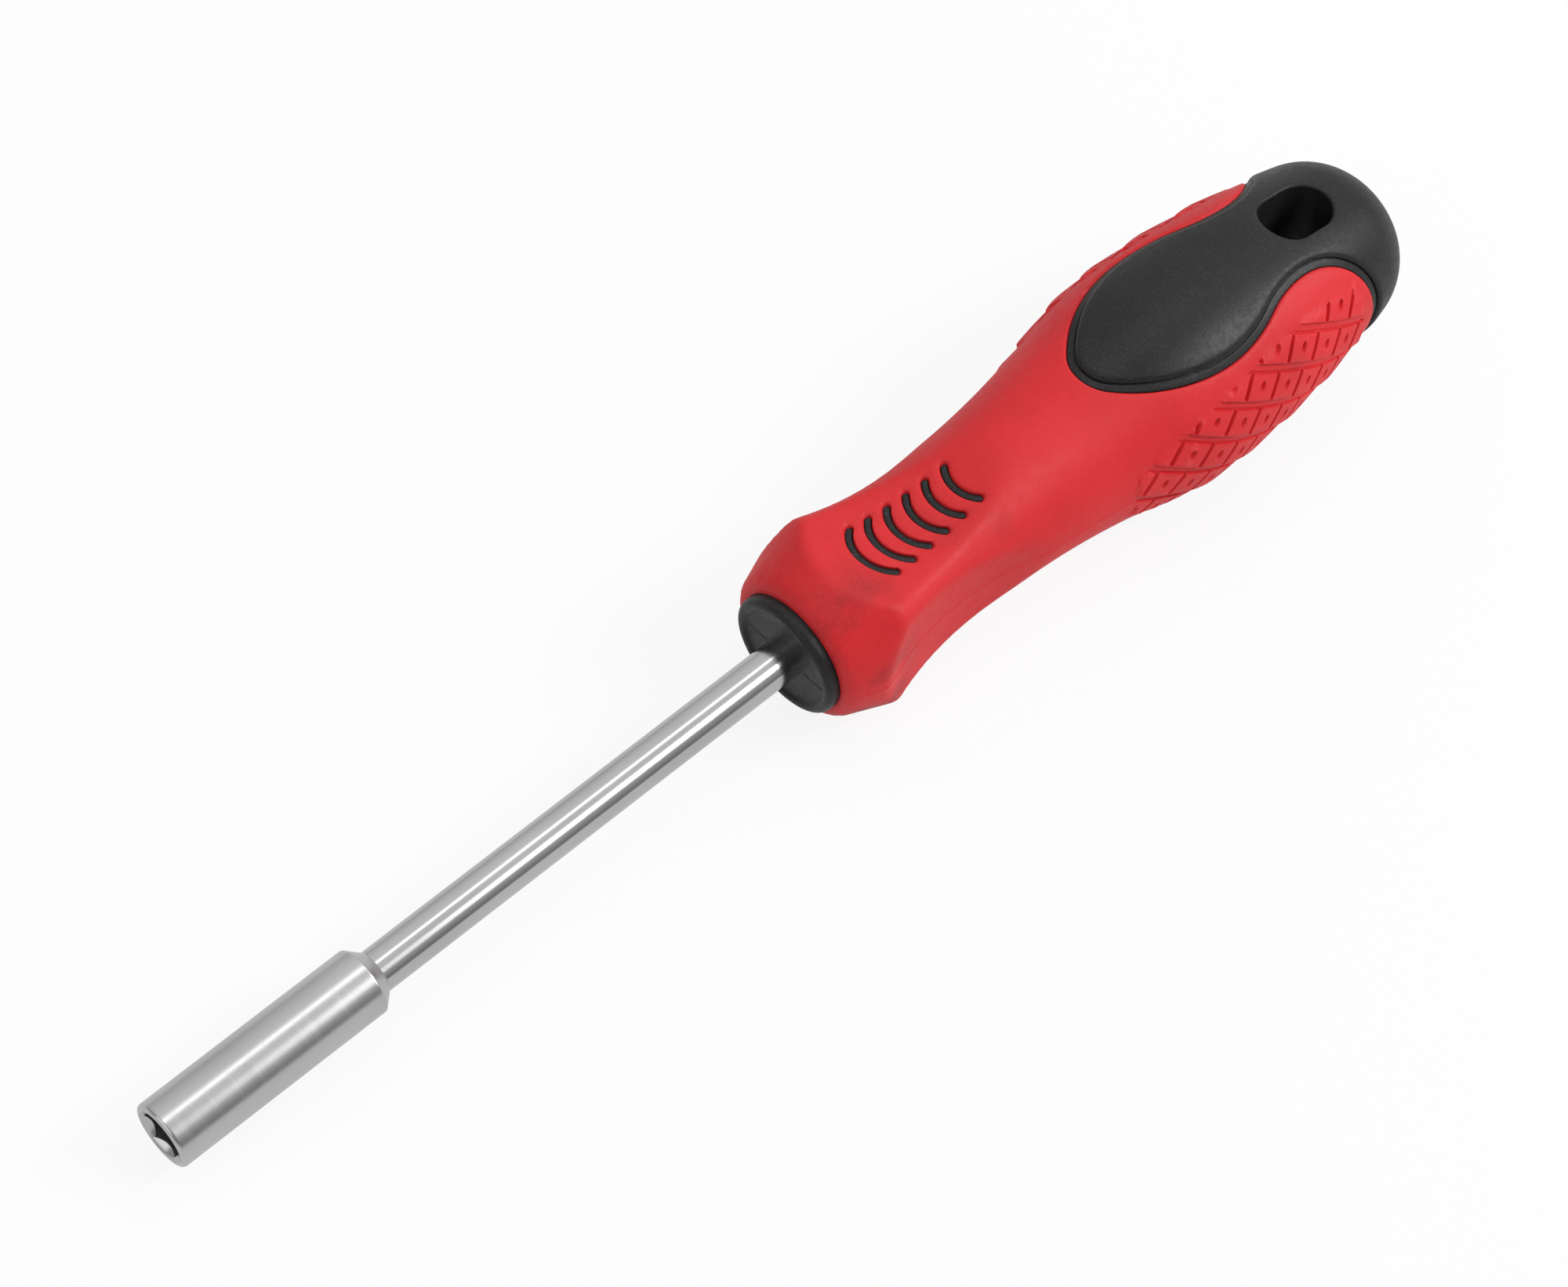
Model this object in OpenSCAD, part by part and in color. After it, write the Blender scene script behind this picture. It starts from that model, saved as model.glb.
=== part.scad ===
// Bit holder screwdriver: a fixed round blade with a magnetic hexagon socket and a two-part handle.
// Millimetres. The axis is X: the socket's mouth is at the origin and the handle's end is at +X.
// Z points up through the middle of one black panel. The tool is the same above and below.

/* [Blade] */
// Diameter of the round steel bar
shaft_d = 6; // [5.6:0.1:6.4]
// Length of the blade in front of the handle's collar, socket included
blade_len = 104; // [90:1:140]
// Length of the bar inside the handle
tang_len = 74; // [60:1:76]
// Width across the flattened wings that keep the bar from turning
wing_w = 9.4; // [8:0.1:10]
// Thickness of the flattened wings
wing_t = 3.6; // [3:0.1:4.4]
// Length of each pair of wings
wing_len = 11; // [8:0.5:12]
// Plain length of bar between the pairs of wings
wing_gap = 4; // [2:0.5:5]
// Plain length of bar behind the last wings
wing_end = 2; // [1:0.5:3]

/* [Bit socket] */
// Outside diameter of the socket
socket_d = 9.5; // [9.3:0.1:10.5]
// Length of the socket, rear cone included
socket_len = 34.1; // [32:0.1:40]
// Length of the rear cone
socket_cone = 1.8; // [1.2:0.1:2.5]
// Rounding of the front edge
nose_r = 0.6; // [0.3:0.05:0.6]
// Hexagon across its flats, with room for a quarter-inch shank
hex_af = 6.4; // [6.36:0.01:6.45]
// Depth of the hexagon
hex_depth = 13; // [11:0.5:14]
// Diameter of the conical lead-in at the face
lead_d = 8; // [7.7:0.1:8]
// Depth of the conical lead-in
lead_depth = 1; // [0.6:0.1:1.4]

/* [Magnet] */
// Diameter of the magnet
magnet_d = 6; // [5.6:0.1:6.1]
// Thickness of the magnet
magnet_t = 4; // [3:0.5:4.5]

/* [Spigot] */
// Diameter of the bar's spigot inside the socket
spigot_d = 4.4; // [4:0.1:4.8]
// Length of the spigot
spigot_len = 15; // [10:0.5:15]

/* [Collar] */
// Radius of the black collar in front of the grip
collar_r = 8.7; // [8.2:0.1:8.9]
// Length of the collar that shows
collar_len = 1.9; // [1.4:0.1:2.4]
// Length of the collar inside the grip
collar_root = 2; // [1.5:0.1:3]
// Radius of the bead round the collar's face
bead_r = 0.7; // [0.5:0.05:0.9]
// Depth of the collar's face inside the bead
face_drop = 0.5; // [0.3:0.05:0.7]

/* [Handle form] */
// Length of the handle, collar included
handle_len = 113; // [111.5:0.5:113.5]
// Radius of the flange at the front face
flange_front_r = 10.6; // [10.4:0.05:11]
// Radius of the flange at its ridge
flange_ridge_r = 14.4; // [13.8:0.1:14.8]
// Place of the ridge behind the collar's face
flange_ridge_at = 11.5; // [11:0.1:12.2]
// Width of the bevel round the flange's front face
flange_bevel = 0.5; // [0.3:0.1:0.8]
// Radius at the neck, measured on the corners between the scoops
neck_r = 11.4; // [11:0.1:11.8]
// Place of the neck behind the collar's face
neck_at = 30; // [28.6:0.2:31]
// Radius at the belly
belly_r = 16.4; // [16.2:0.1:16.8]
// Place of the belly behind the collar's face
belly_at = 71.6; // [71:0.2:72.2]
// Radius of the belly's front curve along the axis
belly_front_curve = 48; // [43:1:56]
// Radius of the belly's rear curve along the axis
belly_rear_curve = 136; // [132:1:140]
// Radius of the shoulder between the belly and the end
shoulder_curve = 10.6; // [10.2:0.1:10.9]
// Radius of the domed end
end_curve = 22.4; // [22:0.1:23.2]

/* [Finger scoops] */
// Distance from the axis to the bottom of each scoop
scoop_low = 9.4; // [9.2:0.05:9.8]
// Place of the bottom of each scoop behind the collar's face
scoop_at = 23.7; // [23:0.1:25]
// Radius of each scoop along the axis
scoop_curve = 43; // [40:1:48]

/* [Grip sleeve] */
// Thickness of the soft grip over the core
grip_t = 2.2; // [1.8:0.1:2.4]
// Number of curved slots in the neck
slot_count = 6; // [3:1:6]
// Place of the middle of the first slot behind the collar's face
slot_first_at = 13.45; // [13:0.05:13.9]
// Distance from slot to slot
slot_pitch = 3.48; // [3.3:0.02:3.6]
// Width of each slot
slot_w = 1.15; // [1:0.05:1.4]
// Radius of the slots' curve
slot_curve = 5.8; // [5.4:0.1:6.6]
// Half length of the first slot across the axis
slot_half_first = 4.6; // [4.2:0.1:4.9]
// Half length of the last slot across the axis
slot_half_last = 3.5; // [3:0.1:4]
// Depth of the core's ribs below the surface in the slots
rib_drop = 0.35; // [0.2:0.05:0.6]

/* [Grip pads] */
// Height of the pads on the grip's sides
pad_rise = 0.4; // [0.2:0.05:0.4]
// Length of each pad along its row
pad_len = 4.7; // [4.4:0.1:4.9]
// Length of each pad's sides across its row
pad_side = 3.9; // [3.5:0.1:4.2]
// Distance from pad to pad along a row
pad_pitch = 5.2; // [5.1:0.1:5.6]
// Distance from row to row along the axis
row_pitch = 8.9; // [8.7:0.1:9.2]
// Distance that each row rises round the belly toward the handle's end
row_rise = 0.35; // [0:0.05:0.5]
// Angle of the rows to the axis
row_angle = 32; // [30:1:35]
// Angle of the pads' sides to the axis
pad_angle = 43; // [41:1:45]
// Place of the middle pad behind the collar's face
pad_at = 75; // [74:0.1:76]
// Distance of the middle pad round the belly from the grip's side
pad_up = 1.7; // [1:0.1:2.2]
// Radius of the dimple in each pad
dimple_r = 0.6; // [0.4:0.05:0.8]
// Place of the middle of the padded field behind the collar's face
field_at = 75.3; // [75:0.1:76]
// Half length of the padded field
field_half_len = 22.5; // [21:0.1:23]
// Place of the widest part of the padded field behind the collar's face
field_wide_at = 80; // [78:0.2:82]
// Half width of the padded field, seen from the side
field_half_w = 10.6; // [10:0.1:11]
// Radius of the padded field's long edges
field_curve = 60; // [55:1:70]

/* [Panels] */
// Place of the panel's tip behind the collar's face
panel_tip_at = 53.7; // [53:0.1:55]
// Radius of the panel's tip
panel_tip_r = 5.8; // [5.2:0.1:6.6]
// Radius of the panel's long sides
panel_side_r = 24; // [23.5:0.5:25]
// Half width of the panel at its widest
panel_half_w = 11.4; // [11:0.1:11.6]
// Place of the panel's waist behind the collar's face
waist_at = 90; // [89:0.1:91]
// Half width of the waist
waist_half_w = 7.9; // [7.6:0.1:8.2]
// Radius of the rounded end of each side lobe, seen from above
lobe_r = 13; // [12.5:0.1:13.5]
// Width of the lower border round the raised panel
border_w = 1.1; // [0.8:0.1:1.4]
// Depth of the border below the grip's surface
border_drop = 0.25; // [0.15:0.05:0.4]
// Height of the raised panel and end cap above the grip's surface
panel_rise = 0.4; // [0.2:0.05:0.5]

/* [Hanging hole] */
// Length of the hole along the axis
hole_len = 11.6; // [10.4:0.1:12.2]
// Width of the hole
hole_w = 7.6; // [7:0.1:7.9]
// Place of the middle of the hole behind the collar's face
hole_at = 96; // [95.5:0.1:96.5]

/* [Hidden] */
// Number of flat pieces in a drawn circle
$fn = 72;
// Clearance between two pieces
gap = 0.02;
// More than any radius of the handle
reach = 30;
// Length by which neighbouring curves overlap
lap = 1;
// Height by which an overlapping curve stands over its neighbour
hair = 0.003;

// Places along the axis
collar_x = blade_len;
front_x = collar_x + collar_len;
ridge_x = collar_x + flange_ridge_at;
neck_x = collar_x + neck_at;
belly_x = collar_x + belly_at;
end_x = collar_x + handle_len - panel_rise;
scoop_x = collar_x + scoop_at;
waist_x = collar_x + waist_at;
tip_x = collar_x + panel_tip_at + panel_tip_r;
hole_x = collar_x + hole_at;
field_x = collar_x + field_at;
field_wide_x = collar_x + field_wide_at;
pad_x = collar_x + pad_at;
tang_x = collar_x + tang_len;
magnet_x = hex_depth;
spigot_x = socket_len - spigot_len;

// Flange: slope of its cone
bevel_x = front_x + flange_bevel;
flange_slope = (flange_ridge_r - flange_front_r) / (ridge_x - bevel_x);
flange_skew = sqrt(1 + flange_slope * flange_slope);

// Neck: front curve from the ridge to the neck, rear curve from the neck into the belly
front_rise = flange_ridge_r - neck_r;
front_run = neck_x - ridge_x;
neck_front_curve = (front_run * front_run + front_rise * front_rise) / (2 * front_rise);
rear_rise = belly_r - neck_r;
rear_run = belly_x - neck_x;
both_curves = (rear_run * rear_run + rear_rise * rear_rise) / (2 * rear_rise);
neck_rear_curve = both_curves - belly_front_curve;

// Shoulder: its centre is where circles round the centres of the end and of the belly's rear meet
end_c = [0, end_x - end_curve];
rear_c = [belly_r - belly_rear_curve, belly_x];
from_end = end_curve - shoulder_curve;
from_rear = belly_rear_curve - shoulder_curve;
apart = norm(rear_c - end_c);
toward = (rear_c - end_c) / apart;
along = (apart * apart + from_end * from_end - from_rear * from_rear) / (2 * apart);
aside = sqrt(from_end * from_end - along * along);
shoulder_c = end_c + along * toward + aside * [toward[1], -toward[0]];

// Directions in which the curves touch each other
to_belly = [neck_r + neck_rear_curve - belly_r + belly_front_curve, neck_x - belly_x] / both_curves;
to_shoulder = (shoulder_c - rear_c) / from_rear;
to_end = (shoulder_c - end_c) / from_end;

// Panel outline: centres of its long sides and of the arcs that lead into the waist
side_y = panel_half_w - panel_side_r;
side_x = tip_x + sqrt(pow(panel_side_r - panel_tip_r, 2) - side_y * side_y);
waist_run = waist_x - side_x;
waist_drop = waist_half_w - side_y;
waist_r = (waist_run * waist_run + waist_drop * waist_drop - panel_side_r * panel_side_r)
    / (2 * (panel_side_r - waist_drop));
to_tip = [tip_x - side_x, -side_y] / (panel_side_r - panel_tip_r);
to_waist = [waist_run, waist_drop + waist_r] / (panel_side_r + waist_r);

// Piece to draw

// A band of the handle's half section between two places along the axis
module band(x0, x1, r = reach) {
    translate([0, x0])
        square([r, x1 - x0]);
}

// A disc in the half section: c is [radius, place]; its outline starts toward the tool's tip
module disc(c, r) {
    translate(c)
        rotate(-90)
            circle(r = r);
}

// Turn a half section into a solid round the X axis
module turned() {
    rotate([0, 90, 0])
        rotate_extrude()
            children();
}

// Half section of the whole handle, d outside the grip's surface.
// Each curve runs a little under its neighbour, so that all of them grow together.
module handle_section(d) {
    r0 = flange_front_r + d * flange_skew;
    r1 = r0 + flange_slope * (neck_x - bevel_x);
    neck_c = [neck_r + neck_rear_curve, neck_x];
    front_c = [belly_r - belly_front_curve, belly_x];
    x1 = front_c[1] + (belly_front_curve + d) * to_belly[1];
    x2 = rear_c[1] + (belly_rear_curve + d) * to_shoulder[1];
    x3 = end_c[1] + (end_curve + d) * to_end[1];
    difference() {
        polygon([[0, front_x], [r0 - flange_bevel, front_x], [r0, bevel_x], [r1, neck_x], [0, neck_x]]);
        disc([neck_r + neck_front_curve, neck_x], neck_front_curve - d);
    }
    difference() {
        band(neck_x - lap, x1);
        disc(neck_c, neck_rear_curve - d - hair);
    }
    intersection() {
        band(x1 - lap, belly_x + lap);
        disc(front_c, belly_front_curve + d + 2 * hair);
    }
    intersection() {
        band(belly_x, x2);
        disc(rear_c, belly_rear_curve + d);
    }
    intersection() {
        band(x2 - lap, x3 + lap);
        disc(shoulder_c, shoulder_curve + d + hair);
    }
    band(x2 - lap, x3 + hair, shoulder_c[0]);
    intersection() {
        band(x3, end_x + reach);
        disc(end_c, end_curve + d);
    }
}

// The four finger scoops, d outside the grip's surface
module scoops(d) {
    for (turn = [0:90:270])
        rotate([turn, 0, 0])
            translate([scoop_x, 0, scoop_low + scoop_curve])
                rotate([90, 0, 0])
                    cylinder(r = scoop_curve - d, h = 2 * reach, center = true, $fn = 180);
}

// The handle's form, d outside the grip's surface
module handle_form(d) {
    difference() {
        turned()
            handle_section(d);
        scoops(d);
    }
}

// Two discs, one on each side of the axis, seen from above
module side_discs(x, y, r) {
    for (side = [-1, 1])
        translate([x, side * y])
            circle(r = r);
}

// A strip across the handle between two places, seen from above
module strip(x0, x1) {
    translate([x0, -reach])
        square([x1 - x0, 2 * reach]);
}

// Outline of the black panel and end cap from above, drawn in by d
module panel_outline(d) {
    x0 = side_x + (panel_side_r - d) * to_tip[0];
    x1 = side_x + (panel_side_r - d) * to_waist[0];
    translate([tip_x, 0])
        circle(r = panel_tip_r - d + 3 * hair);
    intersection() {
        strip(x0, x1 + lap);
        translate([side_x, side_y])
            circle(r = panel_side_r - d + 2 * hair);
        translate([side_x, -side_y])
            circle(r = panel_side_r - d + 2 * hair);
    }
    difference() {
        strip(x1, waist_x + lap);
        side_discs(waist_x, waist_half_w + waist_r, waist_r + d - hair);
    }
    difference() {
        strip(waist_x, waist_x + 2 * reach);
        side_discs(waist_x, waist_half_w + lobe_r, lobe_r + d);
    }
}

// A prism through the handle, up and down, over an outline seen from above
module through() {
    translate([0, 0, -reach])
        linear_extrude(2 * reach)
            children();
}

// One slot of the neck from above, made wider by d all round
module slot_outline(i, d) {
    half = slot_half_first + (slot_half_last - slot_half_first) * i / (slot_count - 1);
    spread = asin(half / slot_curve);
    cx = collar_x + slot_first_at + i * slot_pitch + slot_curve;
    wide = 2 * slot_curve;
    intersection() {
        translate([cx, 0])
            difference() {
                circle(r = slot_curve + slot_w / 2 + d);
                circle(r = slot_curve - slot_w / 2 - d);
            }
        translate([cx, 0])
            polygon([[0, 0], wide * [-cos(spread), sin(spread)], [-wide, 0], wide * [-cos(spread), -sin(spread)]]);
    }
    for (side = [-1, 1])
        translate([cx - slot_curve * cos(spread), side * half])
            circle(r = slot_w / 2 + d + hair);
}

// All the slots of the neck from above, made wider by d all round
module slots(d) {
    for (i = [0:slot_count - 1])
        slot_outline(i, d);
}

// Half width of the padded field at a place along the axis
function field_width(x) = sqrt(pow(field_curve, 2) - pow(x - field_wide_x, 2)) - field_curve + field_half_w;

// Outline of the padded field, seen from the side
module field_outline() {
    y = field_curve - field_half_w;
    intersection() {
        translate([field_x, 0])
            circle(r = field_half_len);
        translate([field_wide_x, y])
            circle(r = field_curve);
        translate([field_wide_x, -y])
            circle(r = field_curve);
    }
}

// Height, seen from the side, of a point at a distance round the belly from the grip's side
function side_height(a) = belly_r * sin(a / belly_r * 180 / PI);

// A point of a pad, seen from the side: c is its middle, u runs along its row and v down its sides
function pad_point(c, u, v) = [
    c[0] + u * cos(row_angle) - v * cos(pad_angle),
    side_height(c[1] - u * sin(row_angle) - v * sin(pad_angle))
];

// One pad with its dimple, seen from the side
module pad_outline(c) {
    u = pad_len / 2;
    v = pad_side / 2;
    difference() {
        polygon([pad_point(c, -u, -v), pad_point(c, u, -v), pad_point(c, u, v), pad_point(c, -u, v)]);
        translate(pad_point(c, 0, 0))
            circle(r = dimple_r);
    }
}

// All the pads of one side, seen from the side; those at the edge are cut off by the field's outline
module pads() {
    intersection() {
        field_outline();
        for (row = [-3:3])
            for (i = [-5:5]) {
                x = pad_x + row * row_pitch + i * pad_pitch * cos(row_angle);
                a = pad_up + row * row_rise - i * pad_pitch * sin(row_angle);
                if (abs(x - field_x) < field_half_len && abs(side_height(a)) < field_width(x) + dimple_r)
                    pad_outline([x, a]);
            }
    }
}

// A prism through the handle, from side to side, over an outline seen from the side
module across() {
    rotate([90, 0, 0])
        translate([0, 0, -reach])
            linear_extrude(2 * reach)
                children();
}

// The hole to hang the tool by, seen from above
module hole_outline() {
    half = (hole_len - hole_w) / 2;
    translate([hole_x - half, -hole_w / 2])
        square([2 * half, hole_w]);
    for (side = [-1, 1])
        translate([hole_x + side * half, 0])
            circle(r = hole_w / 2);
}

// The bar from the socket to its end in the handle, d larger all round
module bar(d) {
    translate([socket_len, 0, 0])
        rotate([0, 90, 0])
            cylinder(r = shaft_d / 2 + d, h = tang_x + d - socket_len);
    for (pair = [0, 1])
        translate([tang_x - wing_end - wing_len - pair * (wing_len + wing_gap), 0, 0])
            rotate([90 * pair, 0, 0])
                translate([-d, -wing_w / 2 - d, -wing_t / 2 - d])
                    cube([wing_len + 2 * d, wing_w + 2 * d, wing_t + 2 * d]);
}

module shaft() {
    color([0.75, 0.76, 0.78]) {
        bar(0);
        translate([spigot_x, 0, 0])
            rotate([0, 90, 0])
                cylinder(d = spigot_d, h = spigot_len + 1);
    }
}

module bit_socket() {
    r = socket_d / 2;
    back = socket_len - socket_cone;
    color([0.78, 0.79, 0.8])
        difference() {
            turned() {
                polygon([[0, 0], [r - nose_r, 0], [r - nose_r, nose_r], [r, nose_r], [r, back],
                    [shaft_d / 2 + gap, socket_len], [0, socket_len]]);
                disc([r - nose_r, nose_r], nose_r);
            }
            rotate([0, 90, 0])
                rotate(30)
                    cylinder(d = hex_af / cos(30), h = 2 * hex_depth, $fn = 6, center = true);
            rotate([0, 90, 0])
                cylinder(d1 = lead_d, d2 = hex_af, h = lead_depth);
            translate([hex_depth - 1, 0, 0])
                rotate([0, 90, 0])
                    cylinder(d = magnet_d + 2 * gap, h = magnet_t + 1 + gap);
            translate([spigot_x - gap, 0, 0])
                rotate([0, 90, 0])
                    cylinder(d = spigot_d + 2 * gap, h = spigot_len + 1);
        }
}

module socket_magnet() {
    color([0.45, 0.46, 0.48])
        translate([magnet_x, 0, 0])
            rotate([0, 90, 0])
                cylinder(d = magnet_d, h = magnet_t);
}

// The collar, with a bead round its face
module collar() {
    turned() {
        band(collar_x + face_drop, front_x + collar_root, collar_r - bead_r);
        band(collar_x + bead_r, front_x + collar_root, collar_r);
        disc([collar_r - bead_r, collar_x + bead_r], bead_r);
    }
}

module handle_core() {
    color([0.09, 0.09, 0.095])
        difference() {
            union() {
                collar();
                handle_form(-grip_t);
                intersection() {
                    handle_form(-rib_drop);
                    through()
                        slots(-gap);
                }
                intersection() {
                    handle_form(-border_drop);
                    through()
                        panel_outline(gap);
                }
                intersection() {
                    handle_form(panel_rise);
                    through()
                        panel_outline(border_w);
                }
            }
            bar(gap);
            through()
                hole_outline();
        }
}

module grip_sleeve() {
    color([0.72, 0.03, 0.04])
        difference() {
            union() {
                handle_form(0);
                intersection() {
                    handle_form(pad_rise);
                    across()
                        pads();
                }
            }
            handle_form(gap - grip_t);
            translate([collar_x, 0, 0])
                rotate([0, 90, 0])
                    cylinder(r = collar_r + gap, h = collar_len + collar_root + gap);
            through()
                slots(0);
            through()
                panel_outline(0);
        }
}

shaft();
bit_socket();
socket_magnet();
handle_core();
grip_sleeve();
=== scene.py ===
import math

import bpy
import numpy as np
from mathutils import Matrix, Vector
from mathutils.geometry import delaunay_2d_cdt
from mathutils.kdtree import KDTree


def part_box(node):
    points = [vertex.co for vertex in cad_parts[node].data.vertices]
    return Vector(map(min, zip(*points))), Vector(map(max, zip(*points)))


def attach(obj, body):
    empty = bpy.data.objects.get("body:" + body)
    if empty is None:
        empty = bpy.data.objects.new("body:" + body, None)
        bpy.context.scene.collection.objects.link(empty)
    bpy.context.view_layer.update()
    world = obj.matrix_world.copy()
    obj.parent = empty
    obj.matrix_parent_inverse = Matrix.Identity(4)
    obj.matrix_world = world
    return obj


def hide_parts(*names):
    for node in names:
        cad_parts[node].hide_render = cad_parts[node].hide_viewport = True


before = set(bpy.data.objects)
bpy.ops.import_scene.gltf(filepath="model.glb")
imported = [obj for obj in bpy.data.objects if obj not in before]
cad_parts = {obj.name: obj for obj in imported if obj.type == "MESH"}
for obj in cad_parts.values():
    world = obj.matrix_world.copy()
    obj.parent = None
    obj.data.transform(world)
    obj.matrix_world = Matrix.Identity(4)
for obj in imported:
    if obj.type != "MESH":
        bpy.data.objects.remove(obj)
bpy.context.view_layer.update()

# A bit holder screwdriver. Lengths are millimetres until a mesh is made. The axis is X, Z goes up
# through the middle of one black panel, and angles round the axis start at Z and turn toward Y.
MM = 0.001


def along(node):
    """First and last place of a CAD node along the axis."""
    low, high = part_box(node)
    return low.x / MM, high.x / MM


collar_x, cap_x = along("handle_core")
front_x, lobe_x = along("grip_sleeve")
socket_x, socket_back_x = along("bit_socket")
bar_x, tang_x = along("shaft")

# The handle's form
PANEL_RISE = 0.4
FLANGE_FRONT_R = 10.9
FLANGE_RIDGE_R = 14.4
FLANGE_BEVEL = 0.5
NECK_R = 11.4
BELLY_R = 16.4
BELLY_FRONT_CURVE = 48.0
BELLY_REAR_CURVE = 136.0
SHOULDER_CURVE = 10.6
END_CURVE = 22.4
SCOOP_LOW = 9.4
SCOOP_CURVE = 43.0
ridge_x = collar_x + 11.5
neck_x = collar_x + 30.0
belly_x = collar_x + 71.6
scoop_x = collar_x + 23.7
bevel_x = front_x + FLANGE_BEVEL
end_x = cap_x - PANEL_RISE
flange_slope = (FLANGE_RIDGE_R - FLANGE_FRONT_R) / (ridge_x - bevel_x)
flange_skew = math.hypot(1.0, flange_slope)

# Softness of the edges between the handle's surfaces
FRONT_ROUND = 1.2
RIDGE_SOFT = 0.5
SCOOP_SOFT = 0.6

# Limits that keep a scoop's slanting reach finite
LEAST_SHARE = 0.1
STEEPEST = 1.2

# Neck: curve from the ridge down to the neck, and from the neck up into the belly
front_rise = FLANGE_RIDGE_R - NECK_R
neck_front_curve = ((neck_x - ridge_x) ** 2 + front_rise ** 2) / (2 * front_rise)
rear_rise = BELLY_R - NECK_R
both_curves = ((belly_x - neck_x) ** 2 + rear_rise ** 2) / (2 * rear_rise)
neck_rear_curve = both_curves - BELLY_FRONT_CURVE
belly_lean = (neck_x - belly_x) / both_curves

# Shoulder: its circle touches the circles of the belly's rear and of the domed end
end_c = Vector((end_x - END_CURVE, 0.0))
rear_c = Vector((belly_x, BELLY_R - BELLY_REAR_CURVE))
from_end = END_CURVE - SHOULDER_CURVE
from_rear = BELLY_REAR_CURVE - SHOULDER_CURVE
apart = (rear_c - end_c).length
toward = (rear_c - end_c) / apart
run = (apart ** 2 + from_end ** 2 - from_rear ** 2) / (2 * apart)
aside = math.sqrt(from_end ** 2 - run ** 2)
shoulder_c = end_c + run * toward + aside * Vector((-toward.y, toward.x))
shoulder_lean = (shoulder_c.x - rear_c.x) / from_rear
end_lean = (shoulder_c.x - end_c.x) / from_end

# The grip, its slots and the black panel's outline, seen from above
GRIP_T = 2.2
COLLAR_R = 9.05
COLLAR_ROOT = 2.0
GAP = 0.02
SLOT_COUNT = 6
SLOT_PITCH = 3.48
SLOT_W = 1.15
SLOT_CURVE = 5.8
SLOT_HALF_FIRST = 4.6
SLOT_HALF_LAST = 3.5
slot_x = collar_x + 13.45
TIP_R = 5.8
SIDE_R = 24.0
PANEL_HALF_W = 11.4
WAIST_HALF_W = 7.9
LOBE_R = 13.0
tip_x = collar_x + 53.7 + TIP_R
waist_x = collar_x + 90.0
side_y = PANEL_HALF_W - SIDE_R
side_x = tip_x + math.sqrt((SIDE_R - TIP_R) ** 2 - side_y ** 2)
waist_run = waist_x - side_x
waist_drop = WAIST_HALF_W - side_y
waist_r = (waist_run ** 2 + waist_drop ** 2 - SIDE_R ** 2) / (2 * (SIDE_R - waist_drop))
waist_y = WAIST_HALF_W + waist_r
lobe_y = WAIST_HALF_W + LOBE_R
to_tip = Vector((tip_x - side_x, -side_y)) / (SIDE_R - TIP_R)
to_waist = Vector((waist_run, waist_y - side_y)) / (SIDE_R + waist_r)
HOLE_LEN = 11.8
HOLE_W = 8.0
DOME_LEN = 9.5
PAST_LOBE = 1.0
hole_x = collar_x + 96.0

# Slots and ribs lie before the first place and panels past it; the hole lies past the second
slots_end = neck_x + 12.0
hole_zone_x = waist_x - 5.0

# The pads on the grip's sides, seen from the side
PAD_SIDE = 3.9
PAD_PITCH = 5.2
ROW_PITCH = 8.9
ROW_RISE = 0.35
ROW_ANGLE = math.radians(32)
PAD_ANGLE = math.radians(43)
PAD_UP = 1.7
PAD_RISE = 0.4
PAD_VALLEY = -0.15
PAD_LINE = -0.3
PAD_LINE_W = 0.12
PAD_TOP = 0.05
CREST_W = 0.15
CREST_DROP = 0.06
STEP_W = 0.12
VALLEY_END = 0.3
VALLEY_LINE_W = 0.14
GROOVE_FLOOR = -0.34
GROOVE_FADE = 0.12
DIMPLE_LONG = 0.85
DIMPLE_SHORT = 0.5
FIELD_FADE = 0.35
FIELD_SLACK = 0.1
FIELD_HALF_LEN = 22.5
FIELD_HALF_W = 10.4
FIELD_CURVE = 60.0
ROW_HALF_LEN = 40.0
ROWS_EACH_WAY = 5
PADS_EACH_WAY = 8
pad_x = collar_x + 75.0
field_x = collar_x + 75.3
field_wide_x = collar_x + 80.0

# Edges as (distance from the outline, height over the grip's surface)
RED_EDGE = ((0.0, -0.36), (0.05, -0.2), (0.15, -0.07), (0.35, 0.0))
PANEL_EDGE = ((0.0, -GRIP_T), (0.03, -0.4), (0.1, -0.29), (0.25, -0.25), (0.95, -0.25), (1.02, -0.42),
              (1.12, -0.42), (1.16, -0.1), (1.26, 0.11), (1.46, 0.27), (1.72, 0.365), (2.05, PANEL_RISE))
RIB_EDGE = ((0.02, -GRIP_T), (0.04, -0.6), (0.1, -0.46), (0.22, -0.38), (0.4, -0.35))
RIM_EDGE = ((0.0, -0.55), (0.05, -0.32), (0.15, -0.15), (0.32, -0.04), (0.55, 0.0))
DIMPLE_EDGE = ((0.0, -0.6), (0.5, -0.5), (0.85, -0.2), (1.0, 0.0))
GROOVE_EDGE = ((0.0, 1.0), (0.18, 1.0), (0.36, 0.0))
SEAM_HALF_W = 0.14
SEAM_RISE = 0.05

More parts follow.
